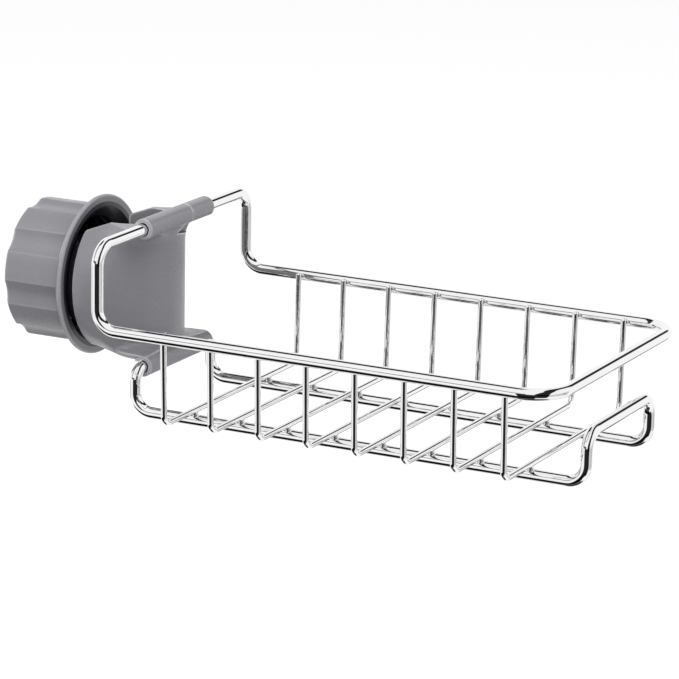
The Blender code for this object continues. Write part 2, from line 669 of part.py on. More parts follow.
def make_pressure_pad(axis):
    """The rubber pad that meets the pipe, hollowed along Z to sit round it."""
    width = BLOCK_WIDTH - 2 * PAD_MARGIN - 2 * FIT_GAP
    height = BLOCK_HEIGHT - 2 * PAD_MARGIN - 2 * FIT_GAP
    centre = PAD_FACE + PAD_HOLLOW_RADIUS
    lip = centre - math.sqrt(PAD_HOLLOW_RADIUS ** 2 - (width / 2) ** 2)
    pad = rounded_plate("pressure_pad", width, height, BLOCK_CORNER - FIT_GAP, PAD_BACK,
                        lip - PAD_EDGE, black_rubber)
    hollow = rod("pad_hollow", "Z", PAD_HOLLOW_RADIUS, -height, height, (centre, 0),
                 sides=PAD_HOLLOW_SIDES)
    combine(pad, hollow)
    shade_round(pad)
    carry(pad, axis)
    return pad


make_rim_wire()
make_base_wire()
for number in range(CROSS_COUNT):
    make_cross_wire(number)
make_clamp_body()
make_saddle_pad()
knob_axis = add_empty("knob_axis", (FLANGE_FACE, 0, 0))
block_axis = add_empty("block_axis", (BLOCK_FACE, 0, 0))
make_knob(knob_axis)
make_pressure_block(block_axis)
make_pressure_pad(block_axis)
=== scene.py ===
# %% [markdown]
# # A wire sink caddy with a plastic screw clamp
#
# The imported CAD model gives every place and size. This script dresses it: smooth bent wires with
# their weld spots, moulded clamp pieces with real threads, and a finish for each surface. Lengths
# are in metres, +Z is up, and +X points from the knob towards the basket.

# %% Load the frame
import math

import bmesh
import bpy
from mathutils import Matrix, Vector


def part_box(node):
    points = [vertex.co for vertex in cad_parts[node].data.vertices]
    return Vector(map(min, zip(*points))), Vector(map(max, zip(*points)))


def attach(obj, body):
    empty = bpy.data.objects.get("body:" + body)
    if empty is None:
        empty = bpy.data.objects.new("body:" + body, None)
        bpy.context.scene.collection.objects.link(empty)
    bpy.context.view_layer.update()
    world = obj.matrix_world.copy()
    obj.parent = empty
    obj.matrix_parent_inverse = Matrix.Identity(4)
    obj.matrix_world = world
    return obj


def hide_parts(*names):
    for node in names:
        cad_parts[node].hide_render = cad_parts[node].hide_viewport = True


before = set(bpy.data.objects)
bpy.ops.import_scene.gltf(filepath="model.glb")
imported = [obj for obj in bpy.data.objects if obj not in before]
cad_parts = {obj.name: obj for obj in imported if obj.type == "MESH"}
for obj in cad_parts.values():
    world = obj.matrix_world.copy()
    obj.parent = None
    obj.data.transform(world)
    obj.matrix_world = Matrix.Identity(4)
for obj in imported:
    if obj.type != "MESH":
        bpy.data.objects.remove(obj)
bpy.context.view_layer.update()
MM = 0.001
print("nodes:", sorted(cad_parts))

# %% [markdown]
# ## The camera
#
# The photograph was taken from far off with a long lens: the near and the far rail of the basket
# stay almost parallel. The place and the angles below were solved from the grid of wires, whose
# spacing is even, so the render lines up with the photograph without any shift of the lens.

# %% Camera at the photograph's angle
CAMERA_PLACE = Vector((0.6235, -1.0656, 0.3037))
CAMERA_YAW, CAMERA_PITCH, CAMERA_ROLL = (math.radians(angle) for angle in (-26.94, 14.75, 1.09))
FOCAL_LENGTH = 191.55       # on a sensor 36 mm wide


def camera_matrix(place, yaw, pitch, roll):
    """Looks along +Y at yaw 0; yaw turns to the right, pitch looks down, roll tilts the frame."""
    ahead = Vector((math.sin(yaw) * math.cos(pitch), math.cos(yaw) * math.cos(pitch), -math.sin(pitch)))
    level = Vector((math.cos(yaw), -math.sin(yaw), 0))
    rise = level.cross(ahead)
    right = level * math.cos(roll) + rise * math.sin(roll)
    up = rise * math.cos(roll) - level * math.sin(roll)
    turn = Matrix((right, up, -ahead)).transposed().to_4x4()
    return Matrix.Translation(place) @ turn


lens = bpy.data.cameras.new("photo_camera")
lens.sensor_width = 36
lens.lens = FOCAL_LENGTH
lens.clip_start, lens.clip_end = 0.05, 20
camera = bpy.data.objects.new("photo_camera", lens)
camera.matrix_world = camera_matrix(CAMERA_PLACE, CAMERA_YAW, CAMERA_PITCH, CAMERA_ROLL)
bpy.context.scene.collection.objects.link(camera)
bpy.context.scene.camera = camera
print("camera stands", round(CAMERA_PLACE.length, 3), "m from the clamp")

# %% [markdown]
# ## Small tools for materials
#
# Colours are written as the sRGB hex values that a picture editor shows, and Blender wants linear
# light, so one function turns the one into the other. Node trees are built with one function that
# adds a node, sets its values and makes its links, so that each material below reads as a list.

# %% Colour and node helpers
def linear(hex_colour):
    """An sRGB hex colour as linear RGBA."""
    values = [int(hex_colour[i:i + 2], 16) / 255 for i in (1, 3, 5)]
    return [v / 12.92 if v <= 0.04045 else ((v + 0.055) / 1.055) ** 2.4 for v in values] + [1]


def add(tree, kind, settings=None, **inputs):
    """Adds a node. Settings are its properties; inputs are values, or sockets to link from."""
    node = tree.nodes.new("ShaderNode" + kind)
    for key, value in (settings or {}).items():
        setattr(node, key, value)
    for key, value in inputs.items():
        socket = node.inputs[int(key[1:])] if key[1:].isdigit() else node.inputs[key.replace("_", " ")]
        if isinstance(value, bpy.types.NodeSocket):
            tree.links.new(value, socket)
        else:
            socket.default_value = value
    return node


def new_material(name):
    """An empty material: its tree, and the output that the finished shader goes to."""
    material = bpy.data.materials.new(name)
    material.use_nodes = True
    material.node_tree.nodes.clear()
    output = add(material.node_tree, "OutputMaterial")
    return material, material.node_tree, output


COLOUR = {"data_type": "RGBA"}      # makes a Mix node mix colours, from its inputs 6 and 7
print("mid grey #808080 is", round(linear("#808080")[0], 3), "in linear light")

# %% [markdown]
# ## Polished stainless wire
#
# The basket is bent from drawn stainless steel wire and then polished bright. Drawing leaves fine
# lines along the wire, which polishing softens but never quite removes: the reflections stay sharp
# across the wire and are a little broken along it. Each wire piece carries an attribute,
# wire_place, with a point's place on the straight wire before it was bent, so the lines follow
# every bend. Real drawing lines are a few hundredths of a millimetre apart, too fine to show, so
# they are drawn here 0.35 mm apart.

# %% Stainless wire material
DRAWN_LINE_SPACING = 0.35 * MM
DRAWN_LINE_LENGTH = 9 * MM
HANDLING_MARK_SIZE = 14 * MM
MIRROR_ROUGHNESS, WORN_ROUGHNESS = 0.02, 0.08
LINE_DEPTH = 0.05 * MM


def make_polished_stainless():
    """Bright steel whose gloss and shape are broken a little along the drawn lines."""
    material, tree, output = new_material("polished_stainless_wire")
    place = add(tree, "Attribute", {"attribute_name": "wire_place"})
    stretch = (1 / DRAWN_LINE_SPACING, 1 / DRAWN_LINE_SPACING, 1 / DRAWN_LINE_LENGTH)
    lines_at = add(tree, "VectorMath", {"operation": "MULTIPLY"}, i0=place.outputs["Vector"],
                   i1=stretch)
    lines = add(tree, "TexNoise", Vector=lines_at.outputs[0], Scale=1, Detail=3, Roughness=0.6)
    body = add(tree, "TexCoord")
    marks = add(tree, "TexNoise", Vector=body.outputs["Object"], Scale=1 / HANDLING_MARK_SIZE,
                Detail=4)
    mixed = add(tree, "Math", {"operation": "MULTIPLY"}, i0=lines.outputs[0], i1=marks.outputs[0])
    rough = add(tree, "MapRange", Value=mixed.outputs[0], From_Min=0.1, From_Max=0.45,
                To_Min=MIRROR_ROUGHNESS, To_Max=WORN_ROUGHNESS)
    tint = add(tree, "Mix", COLOUR, i0=marks.outputs[0], i6=linear("#EFEFF0"), i7=linear("#F8F8F9"))
    bump = add(tree, "Bump", Height=lines.outputs[0], Strength=0.05, Distance=LINE_DEPTH)
    steel = add(tree, "BsdfPrincipled", Base_Color=tint.outputs[2], Metallic=1, Roughness=rough.outputs[0],
                Normal=bump.outputs[0])
    tree.links.new(steel.outputs[0], output.inputs[0])
    return material


stainless = make_polished_stainless()
print("material:", stainless.name)

# %% [markdown]
# ## Satin moulded plastic
#
# The clamp and the knob are injection-moulded in ABS, in a mould with a fine spark-eroded texture.
# To the eye that is an even satin grey with a soft wide highlight, and a brighter thin line along
# each edge, because a moulded edge is always a little rounded. The Bevel node rounds the shading
# of the edges by a real 0.3 mm. The thin line is also a painted highlight: a pale colour is painted
# near each edge, which an Ambient Occlusion node that looks into the plastic finds: near an edge
# its rays come out again on the other side. The same node looking outwards finds the corners and
# the places under other parts, which are painted darker as painted shade. The knob's thread, its
# mouth and the prongs are painted nearly black, as painted shade. Grain of 0.2 mm is finer than a
# pixel here, so it is drawn at 0.45 mm.

# %% Painted shade for the thread and the knob's mouth
# A near-black colour for painted shade: the hollows round the thread and the corners of the plastic.
PAINTED_SHADE_COLOUR = "#25252F"


def painted_shade_zone(tree, place, zones):
    """One where the shade is painted. From each zone's start along X, it reaches so far from the axis."""
    along = add(tree, "SeparateXYZ", Vector=place).outputs[0]
    across = add(tree, "VectorMath", {"operation": "MULTIPLY"}, i0=place, i1=(0, 1, 1))
    radius = add(tree, "VectorMath", {"operation": "LENGTH"}, i0=across.outputs[0]).outputs["Value"]
    limit, last = 0, 0
    for start, reach in zones:
        past = add(tree, "Math", {"operation": "GREATER_THAN"}, i0=along, i1=start).outputs[0]
        limit = add(tree, "Math", {"operation": "MULTIPLY_ADD"}, i0=past, i1=reach - last,
                    i2=limit).outputs[0]
        last = reach
    return add(tree, "Math", {"operation": "LESS_THAN"}, i0=radius, i1=limit).outputs[0]


print("grease colour:", PAINTED_SHADE_COLOUR)

# %% Moulded plastic material
GRAIN_SIZE = 0.45 * MM
GRAIN_DEPTH = 0.06 * MM
FLOW_SIZE = 16 * MM             # cloudy drift of the colour, left by the way the plastic flowed
EDGE_ROUND = 0.3 * MM
EDGE_HIGHLIGHT_REACH = 0.9 * MM            # how far in from an edge the painted highlight reaches
EDGE_HIGHLIGHT_SHARE = 0.65
CORNER_REACH = 10 * MM
CORNER_SHADE_DARKNESS = 0.55
FEELER_RAYS = 6             # rays that feel for edges and corners at each point


def make_moulded_plastic(name, dark, light, edge, roughness, zones=()):
    """Satin plastic between two greys, with painted edge highlights and painted shade in corners and
    zones.
    """
    material, tree, output = new_material(name)
    place = add(tree, "TexCoord").outputs["Object"]
    flow = add(tree, "TexNoise", Vector=place, Scale=1 / FLOW_SIZE, Detail=3)
    grit = add(tree, "TexNoise", Vector=place, Scale=1 / GRAIN_SIZE, Detail=2)
    rounded = add(tree, "Bevel", {"samples": FEELER_RAYS}, Radius=EDGE_ROUND)
    # Rays into the plastic find its edges, where the edge colour is painted on as a painted highlight.
    solid = add(tree, "AmbientOcclusion", {"samples": FEELER_RAYS, "inside": True, "only_local": True},
                Distance=EDGE_HIGHLIGHT_REACH)
    edge_highlight = add(tree, "MapRange", Value=solid.outputs["AO"], From_Min=0.92, From_Max=0.55,
               To_Min=0, To_Max=EDGE_HIGHLIGHT_SHARE)
    # Rays out of the plastic find corners and places under other parts, painted darker as painted shade.
    open_side = add(tree, "AmbientOcclusion", {"samples": FEELER_RAYS, "only_local": True},
                    Distance=CORNER_REACH)
    corner_shade = add(tree, "MapRange", Value=open_side.outputs["AO"], From_Min=0.3, From_Max=0.95,
               To_Min=CORNER_SHADE_DARKNESS, To_Max=0)
    body = add(tree, "Mix", COLOUR, i0=flow.outputs[0], i6=linear(dark), i7=linear(light))
    corner_shaded = add(tree, "Mix", COLOUR, i0=corner_shade.outputs[0], i6=body.outputs[2], i7=linear(PAINTED_SHADE_COLOUR))
    tint = add(tree, "Mix", COLOUR, i0=edge_highlight.outputs[0], i6=corner_shaded.outputs[2], i7=linear(edge))
    # In its zones the plastic is painted near-black as painted shade.
    if zones:
        painted_shade = painted_shade_zone(tree, place, zones)
        tint = add(tree, "Mix", COLOUR, i0=painted_shade, i6=tint.outputs[2], i7=linear(PAINTED_SHADE_COLOUR))
    rough = add(tree, "MapRange", Value=grit.outputs[0], From_Min=0.3, From_Max=0.7,
                To_Min=roughness - 0.04, To_Max=roughness + 0.05)
    bump = add(tree, "Bump", Height=grit.outputs[0], Strength=0.08, Distance=GRAIN_DEPTH,
               Normal=rounded.outputs[0])
    plastic = add(tree, "BsdfPrincipled", Base_Color=tint.outputs[2], Roughness=rough.outputs[0],
                  IOR=1.53, Normal=bump.outputs[0])
    tree.links.new(plastic.outputs[0], output.inputs[0])
    return material


print("moulded grain drawn at", round(GRAIN_SIZE / MM, 2), "mm")

# %% Plastics of the caddy
SATIN = 0.30
DISC_PLACE = -9.6 * MM          # the disc's face, towards the knob
knob_low, knob_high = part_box("knob")
# The prongs behind the disc stand in shade, and are painted near-black as painted shade.
PRONG_SHADE_ZONES = (
    (-100 * MM, 40 * MM),                   # everything behind the disc: the two prongs
    (DISC_PLACE - 0.2 * MM, 0),             # none from the disc on
)
# In the knob, the cavity, the mouth and a ring on the flange stand in shade, painted near-black as painted
# shade.
KNOB_SHADE_ZONES = (
    (knob_low.x + 3 * MM, 21 * MM),         # the threaded cavity
    (knob_high.x - 3.7 * MM, 24.4 * MM),    # the flared mouth
    (knob_high.x - 0.3 * MM, 25.8 * MM),    # a ring on the flange's face
)
# Each plastic's third colour is its painted edge highlight, and its corners get painted shade.
clamp_plastic = make_moulded_plastic("satin_grey_abs", "#79787D", "#7F7E83", "#E2E1E6", SATIN,
                                     PRONG_SHADE_ZONES)
knob_plastic = make_moulded_plastic("satin_grey_abs_knob", "#7C7B80", "#828186", "#E2E1E6", SATIN,
                                    KNOB_SHADE_ZONES)
block_plastic = make_moulded_plastic("dark_moulded_nylon", "#2E2E31", "#353538", "#434347", 0.46)
print("materials:", clamp_plastic.name, knob_plastic.name, block_plastic.name)

# %% [markdown]
# ## Soft rubber
#
# The saddle strip and the grip pad are black nitrile rubber, pressed in a plain mould: matt, nearly
# black, with a dusty bloom where hands and water have been. A wide, weak highlight and a pale
# cloudy variation give that look.

# %% Rubber material
BLOOM_SIZE = 5 * MM


def make_rubber():
    """Matt rubber with a pale cloudy bloom."""
    material, tree, output = new_material("black_nitrile_rubber")
    place = add(tree, "TexCoord").outputs["Object"]
    bloom = add(tree, "TexNoise", Vector=place, Scale=1 / BLOOM_SIZE, Detail=5, Roughness=0.65)
    skin = add(tree, "TexNoise", Vector=place, Scale=1 / GRAIN_SIZE, Detail=2)
    tint = add(tree, "Mix", COLOUR, i0=bloom.outputs[0], i6=linear("#1B1B1C"), i7=linear("#2C2C2D"))
    bump = add(tree, "Bump", Height=skin.outputs[0], Strength=0.3, Distance=0.08 * MM)
    rubber = add(tree, "BsdfPrincipled", Base_Color=tint.outputs[2], Roughness=0.72, IOR=1.52,
                 Normal=bump.outputs[0])
    tree.links.new(rubber.outputs[0], output.inputs[0])
    return material


rubber = make_rubber()
print("material:", rubber.name)

# %% [markdown]
# ## Bending the wires
#
# A wire-bending machine feeds straight wire and bends it round a die, again and again. The same is
# done here: a ring of points is the wire's cross-section, and each feed extrudes it straight on
# and each bend extrudes it in small turns about the die's axis. A curve object with a bevel would
# be quicker, but its cross-section would twist at the bends, and it could not carry the place on
# the straight wire that the drawn lines need. The two thick wires are closed loops: their ends are
# butt-welded, and on the real caddy that joint is hidden in the clamp's sleeve, so each loop starts
# in the middle of the bar that the clamp holds.

# %% From a bmesh to a piece of the caddy
CORNER_ANGLE = 40           # degrees between two faces past which their edge is drawn sharp


def mark_sharp(shape, degrees):
    """Smooth faces, with a sharp edge wherever two faces meet at more than an angle."""
    for face in shape.faces:
        face.smooth = True
    for edge in shape.edges:
        edge.smooth = edge.is_manifold and edge.calc_face_angle() <= math.radians(degrees)


def finish_mesh(name, shape, material, body, replaced=()):
    """Puts a finished bmesh into the scene as a piece that rides on a CAD body."""
    bmesh.ops.recalc_face_normals(shape, faces=shape.faces)
    mark_sharp(shape, CORNER_ANGLE)
    mesh = bpy.data.meshes.new(name)
    shape.to_mesh(mesh)
    shape.free()
    piece = bpy.data.objects.new(name, mesh)
    bpy.context.scene.collection.objects.link(piece)
    mesh.materials.append(material)
    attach(piece, body)
    if replaced:
        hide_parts(*replaced)
    return piece


print("edges are sharp past", CORNER_ANGLE, "degrees")

# %% A wire that is fed and bent
THICK_WIRE, THIN_WIRE = 4.2 * MM, 2.2 * MM
THICK_SIDES, THIN_SIDES = 24, 16
BEND_STEP = math.radians(4.5)
SUPPORT = 0.5 * MM          # a short feed beside each bend, to keep its shading out of the run
JOINT_MERGE = 0.02 * MM     # the two ends of a loop are nearer to each other than this


def wire_shape(diameter, sides, start, heading, side_axis, steps, closed):
    """Feeds and bends a wire. A step is ("feed", length) or ("bend", degrees, radius, axis)."""
    shape = bmesh.new()
    place = shape.verts.layers.float_vector.new("wire_place")
    bmesh.ops.create_circle(shape, cap_ends=False, segments=sides, radius=diameter / 2)
    for vertex in shape.verts:
        vertex[place] = vertex.co.copy()
    heading, side_axis = Vector(heading), Vector(side_axis)
    turn = Matrix((side_axis, heading.cross(side_axis), heading)).transposed().to_4x4()
    bmesh.ops.transform(shape, matrix=Matrix.Translation(start) @ turn, verts=shape.verts)
    ring, centre, along = list(shape.edges), Vector(start), 0

    def extrude_ring(length):
        nonlocal ring, along
        grown = bmesh.ops.extrude_edge_only(shape, edges=ring)["geom"]
        ring = [g for g in grown if isinstance(g, bmesh.types.BMEdge) and len(g.link_faces) == 1]
        ends = {vertex for edge in ring for vertex in edge.verts}
        along += length
        for vertex in ends:
            across, down, _ = vertex[place]
            vertex[place] = (across, down, along)
        return list(ends)

    for step in steps:
        if step[0] == "feed":
            run = step[1]
            for part in (SUPPORT, run - 2 * SUPPORT, SUPPORT) if run > 3 * SUPPORT else (run,):
                ends = extrude_ring(part)
                bmesh.ops.translate(shape, verts=ends, vec=heading * part)
                centre = centre + heading * part
            continue
        _, degrees, radius, axis = step
        axis = Vector(axis)
        die = centre + axis.cross(heading) * radius
        count = max(2, round(math.radians(degrees) / BEND_STEP))
        small = Matrix.Rotation(math.radians(degrees) / count, 3, axis)
        for _ in range(count):
            ends = extrude_ring(math.radians(degrees) / count * radius)
            bmesh.ops.rotate(shape, verts=ends, cent=die, matrix=small)
            centre, heading = die + small @ (centre - die), small @ heading
    if closed:
        bmesh.ops.remove_doubles(shape, verts=shape.verts, dist=JOINT_MERGE)
    return shape, along


print("a right-angled bend takes", round(math.pi / 2 / BEND_STEP), "small turns")

# %% [markdown]
# ### Rim wire
#
# One loop of thick wire: the bar in the clamp's upper sleeve, an upright at each side, the two
# side rails, and the far bar between two wider corners. Its corners come from the CAD node's box.

# %% Rim wire
RIM_BEND = 7.2 * MM
RIM_CORNER_BEND = 12 * MM
half_thick = THICK_WIRE / 2
rim_low, rim_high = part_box("rim_wire")
riser_x, rim_end = rim_low.x + half_thick, rim_high.x - half_thick
rim_half = rim_high.y - half_thick
rim_level, bar_level = rim_low.z + half_thick, rim_high.z - half_thick

rim_steps = [
    ("feed", rim_half - RIM_BEND), ("bend", 90, RIM_BEND, (1, 0, 0)),
    ("feed", bar_level - rim_level - 2 * RIM_BEND), ("bend", 90, RIM_BEND, (0, -1, 0)),
    ("feed", rim_end - riser_x - RIM_BEND - RIM_CORNER_BEND), ("bend", 90, RIM_CORNER_BEND, (0, 0, 1)),
    ("feed", 2 * (rim_half - RIM_CORNER_BEND)), ("bend", 90, RIM_CORNER_BEND, (0, 0, 1)),
    ("feed", rim_end - riser_x - RIM_BEND - RIM_CORNER_BEND), ("bend", 90, RIM_BEND, (0, 1, 0)),
    ("feed", bar_level - rim_level - 2 * RIM_BEND), ("bend", 90, RIM_BEND, (1, 0, 0)),
    ("feed", rim_half - RIM_BEND),
]
start = (riser_x, 0, bar_level)
shape, length = wire_shape(THICK_WIRE, THICK_SIDES, start, (0, -1, 0), (1, 0, 0), rim_steps, True)
finish_mesh("rim_wire_polished", shape, stainless, "basket", ["rim_wire"])
print(f"rim wire cut from {length * 1000:.0f} mm of straight wire")

# %% [markdown]
# ### Base wire
#
# The second loop hangs from the lower sleeve, runs out under the floor and turns up at the far
# end, where it makes the low bar that a cloth hangs over. Beside the sleeve its bends are tighter,
# because the sleeve leaves less room.

# %% Base wire
BASE_BEND = 6.6 * MM
BASE_BAR_DROP = 20.2 * MM       # from the rim to the bar in the lower sleeve
SLEEVE_HALF = 22 * MM           # half the length of the sleeve
base_low, base_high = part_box("base_wire")
base_half, base_end = base_high.y - half_thick, base_high.x - half_thick
base_level = base_low.z + half_thick
upstand_level = base_high.z - half_thick
base_bar = rim_level - BASE_BAR_DROP
sleeve_bend = min(base_half - SLEEVE_HALF, (base_bar - base_level) / 2)
riser_run = base_bar - base_level - sleeve_bend - BASE_BEND
rail_run = base_end - riser_x - 2 * BASE_BEND

base_steps = [
    ("feed", base_half - sleeve_bend), ("bend", 90, sleeve_bend, (1, 0, 0)),
    ("feed", riser_run), ("bend", 90, BASE_BEND, (0, -1, 0)),
    ("feed", rail_run), ("bend", 90, BASE_BEND, (0, -1, 0)),
    ("feed", upstand_level - base_level - 2 * BASE_BEND), ("bend", 90, BASE_BEND, (-1, 0, 0)),
    ("feed", 2 * (base_half - BASE_BEND)), ("bend", 90, BASE_BEND, (-1, 0, 0)),
    ("feed", upstand_level - base_level - 2 * BASE_BEND), ("bend", 90, BASE_BEND, (0, 1, 0)),
    ("feed", rail_run), ("bend", 90, BASE_BEND, (0, 1, 0)),
    ("feed", riser_run), ("bend", 90, sleeve_bend, (1, 0, 0)),
    ("feed", base_half - sleeve_bend),
]
start = (riser_x, 0, base_bar)
shape, length = wire_shape(THICK_WIRE, THICK_SIDES, start, (0, -1, 0), (1, 0, 0), base_steps, True)
finish_mesh("base_wire_polished", shape, stainless, "basket", ["base_wire"])
print(f"base wire cut from {length * 1000:.0f} mm of straight wire")

# %% [markdown]
# ### Cross wires
#
# Eight thin wires are each bent to a wide U. The ends are sheared off, so each end face is flat
# with a slightly rounded edge. The legs lean out by a degree or so, because the basket is a little
# wider at the rim than at the floor. They could be eight copies of one mesh, moved along, but the
# export wants each piece's place in its own mesh, so each wire is bent where it stands.

# %% Cross wires
CROSS_BEND = 3.6 * MM
CROSS_SPLAY = 1.0 * MM          # how much further out a leg stands at its tip than at the floor
SHEARED_EDGE = 0.35 * MM
half_thin = THIN_WIRE / 2


def cross_wire_shape(node):
    """A wide U in the place of a CAD cross wire, and the length of wire that it takes."""
    low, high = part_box(node)
    floor, reach = low.z + half_thin, (low.x + high.x) / 2
    top_half = high.y - half_thin
    tip = high.z
    lean = math.atan2(CROSS_SPLAY, tip - floor)
    bend = math.pi / 2 - lean
    tangent = CROSS_BEND * math.tan(bend / 2)
    leg = (tip - floor) / math.cos(lean) - tangent
    run = 2 * (top_half - CROSS_SPLAY - tangent)
    degrees = math.degrees(bend)
    steps = [("feed", leg), ("bend", degrees, CROSS_BEND, (1, 0, 0)), ("feed", run),
             ("bend", degrees, CROSS_BEND, (1, 0, 0)), ("feed", leg)]
    heading = (0, math.sin(lean), -math.cos(lean))
    start = (reach, -top_half, tip)
    shape, length = wire_shape(THIN_WIRE, THIN_SIDES, start, heading, (1, 0, 0), steps, False)
    ends = [edge for edge in shape.edges if len(edge.link_faces) == 1]
    caps = bmesh.ops.holes_fill(shape, edges=ends, sides=0)["faces"]
    rims = [edge for cap in caps for edge in cap.edges]
    bmesh.ops.bevel(shape, geom=rims, offset=SHEARED_EDGE, segments=2, profile=0.5,
                    affect="EDGES", material=-1)
    return shape, length


cross_nodes = sorted(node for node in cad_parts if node.startswith("cross_wire"))
for node in cross_nodes:
    shape, length = cross_wire_shape(node)
    finish_mesh(f"{node}_polished", shape, stainless, "basket", [node])
print(f"{len(cross_nodes)} cross wires, each cut from {length * 1000:.0f} mm of wire")

# %% [markdown]
# ### Spot welds
#
# The grid is held together by resistance welds: two wires are pressed together and a current melts
# the place where they touch, which leaves a small squeezed-out collar, polished as bright as the
# wire. It could be blended into both wires with a remesh, but at this size a sphere pressed flat
# between them looks the same, and it leaves the wires' own faces clean.

# %% Spot welds
WELD_SIDE = 1.35 * MM
WELD_THICK = 0.75 * MM
WELD_SEGMENTS, WELD_RINGS = 14, 8


def add_weld(shape, centre, radii):
    """A flattened sphere where two wires meet."""
    made = bmesh.ops.create_uvsphere(shape, u_segments=WELD_SEGMENTS, v_segments=WELD_RINGS,
                                     radius=1)["verts"]
    bmesh.ops.scale(shape, verts=made, vec=radii)
    bmesh.ops.translate(shape, verts=made, vec=centre)


shape = bmesh.new()
for node in cross_nodes:
    low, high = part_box(node)
    reach = (low.x + high.x) / 2
    for side in (-1, 1):
        leg_outside = high.y - CROSS_SPLAY * (high.z - rim_level) / (high.z - low.z)
        add_weld(shape, (reach, side * leg_outside, rim_level), (WELD_SIDE, WELD_THICK, WELD_SIDE))
        add_weld(shape, (reach, side * base_half, low.z), (WELD_SIDE, WELD_SIDE, WELD_THICK))
finish_mesh("weld_spots", shape, stainless, "basket")
print(4 * len(cross_nodes), "spot welds")

# %% [markdown]
# ## Clamp moulding and knob
#
# The CAD model already has the right form for both, so each piece starts as a copy of its CAD
# node, merged into one skin. What CAD leaves out is the thread that joins them: a coarse
# right-hand thread with a 4 mm pitch, moulded on the outside of the two prongs and on the inside
# of the knob. A Screw modifier could make the spiral, but a spin with a step along its axis gives
# a closed solid that cuts the groove in one Boolean. A fine groove round the upper sleeve, where
# its two hooks meet, is cut by a ring in the same way.

# %% Cutters for the thread and the seam
THREAD_PITCH = 4 * MM
THREAD_DEPTH = 0.9 * MM
GROOVE_WIDTH, GROOVE_FLOOR = 2.5 * MM, 1.1 * MM
THREAD_STEPS = 72               # steps in one turn
RING_STEPS = 48
SKIN_MERGE = 0.002 * MM         # loose triangles whose corners are nearer than this share them


def cutter_object(name, shape):
    """A closed bmesh as an object that a Boolean can cut with."""
    bmesh.ops.recalc_face_normals(shape, faces=shape.faces)
    mesh = bpy.data.meshes.new(name)
    shape.to_mesh(mesh)
    shape.free()
    cutter = bpy.data.objects.new(name, mesh)
    bpy.context.scene.collection.objects.link(cutter)
    return cutter


def thread_cutter(name, wall_radius, inward, start, end):
    """A spiral bar that stands across a wall, to cut a groove on the side that it leans to."""
    lean = -1 if inward else 1
    shape = bmesh.new()
    floor, mouth = wall_radius + lean * THREAD_DEPTH, wall_radius - lean * THREAD_DEPTH / 2
    outline = [(start - GROOVE_FLOOR / 2, floor), (start + GROOVE_FLOOR / 2, floor),
               (start + GROOVE_WIDTH / 2, mouth), (start - GROOVE_WIDTH / 2, mouth)]
    face = shape.faces.new([shape.verts.new((x, 0, z)) for x, z in outline])
    turns = (end - start) / THREAD_PITCH
    steps = round(turns * THREAD_STEPS)
    bmesh.ops.spin(shape, geom=[face], cent=(0, 0, 0), axis=(1, 0, 0), angle=2 * math.pi * turns,
                   dvec=((end - start) / steps, 0, 0), steps=steps, use_merge=False)
    return cutter_object(name, shape)


def ring_cutter(name, centre, radius, width, depth):
    """A square ring round a sleeve, along Y, to cut the fine groove of a seam."""
    shape = bmesh.new()
    middle = Vector(centre) + Vector((0, 0, radius))
    corners = [shape.verts.new(middle + Vector((0, across * width / 2, up * depth)))
               for across, up in ((-1, -1), (1, -1), (1, 1), (-1, 1))]
    outline = [shape.edges.new((corners[i], corners[i - 1])) for i in range(4)]
    bmesh.ops.spin(shape, geom=corners + outline, cent=centre, axis=(0, 1, 0), angle=2 * math.pi,
                   steps=RING_STEPS, use_merge=True)
    bmesh.ops.remove_doubles(shape, verts=shape.verts, dist=SKIN_MERGE)
    return cutter_object(name, shape)


print("thread:", round(THREAD_PITCH / MM), "mm pitch,", round(THREAD_DEPTH / MM, 1), "mm deep")

# %% [markdown]
# A Boolean leaves slivers beside its cut, and on a satin face each of them shades as a shard. So
# the slivers are joined into their flat faces again, and a Weighted Normal modifier lets a large
# face keep its own normal, which leaves the bend in the shading to the small faces at its edge.

# %% Copies, cuts and even shading
FLAT_ANGLE = 0.7            # degrees between two faces that count as one flat face
SHARP_ANGLE = 26            # as CORNER_ANGLE, for the shallow edges of the mouldings
SLIVER = 0.01 * MM
LARGE_FACE_WEIGHT = 60


def merged_copy(node):
    """A bmesh copy of a CAD node, merged from loose triangles into one skin."""
    shape = bmesh.new()
    shape.from_mesh(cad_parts[node].data)
    bmesh.ops.remove_doubles(shape, verts=shape.verts, dist=SKIN_MERGE)
    return shape


def clean_shading(piece):
    """Joins slivers into their flat faces, then lets large faces keep their own normal."""
    piece.modifiers.clear()
    shape = bmesh.new()
    shape.from_mesh(piece.data)
    bmesh.ops.remove_doubles(shape, verts=shape.verts, dist=SLIVER)
    bmesh.ops.dissolve_degenerate(shape, edges=shape.edges, dist=SLIVER)
    bmesh.ops.dissolve_limit(shape, verts=shape.verts, edges=shape.edges,
                             angle_limit=math.radians(FLAT_ANGLE))
    bmesh.ops.triangulate(shape, faces=[face for face in shape.faces if len(face.verts) > 4])
    mark_sharp(shape, SHARP_ANGLE)
    shape.to_mesh(piece.data)
    shape.free()
    weigh = piece.modifiers.new("even_shading", "WEIGHTED_NORMAL")
    weigh.mode, weigh.weight, weigh.keep_sharp = "FACE_AREA", LARGE_FACE_WEIGHT, True


def cut(piece, cutter):
    """Cuts a piece with another object and applies the result."""
    change = piece.modifiers.new("cut", "BOOLEAN")
    change.operation, change.solver, change.object = "DIFFERENCE", "EXACT", cutter
    graph = bpy.context.evaluated_depsgraph_get()
    result = bpy.data.meshes.new_from_object(piece.evaluated_get(graph), depsgraph=graph)
    piece.modifiers.clear()
    old, piece.data = piece.data, result
    bpy.data.meshes.remove(old)
    bpy.data.objects.remove(cutter)
    clean_shading(piece)


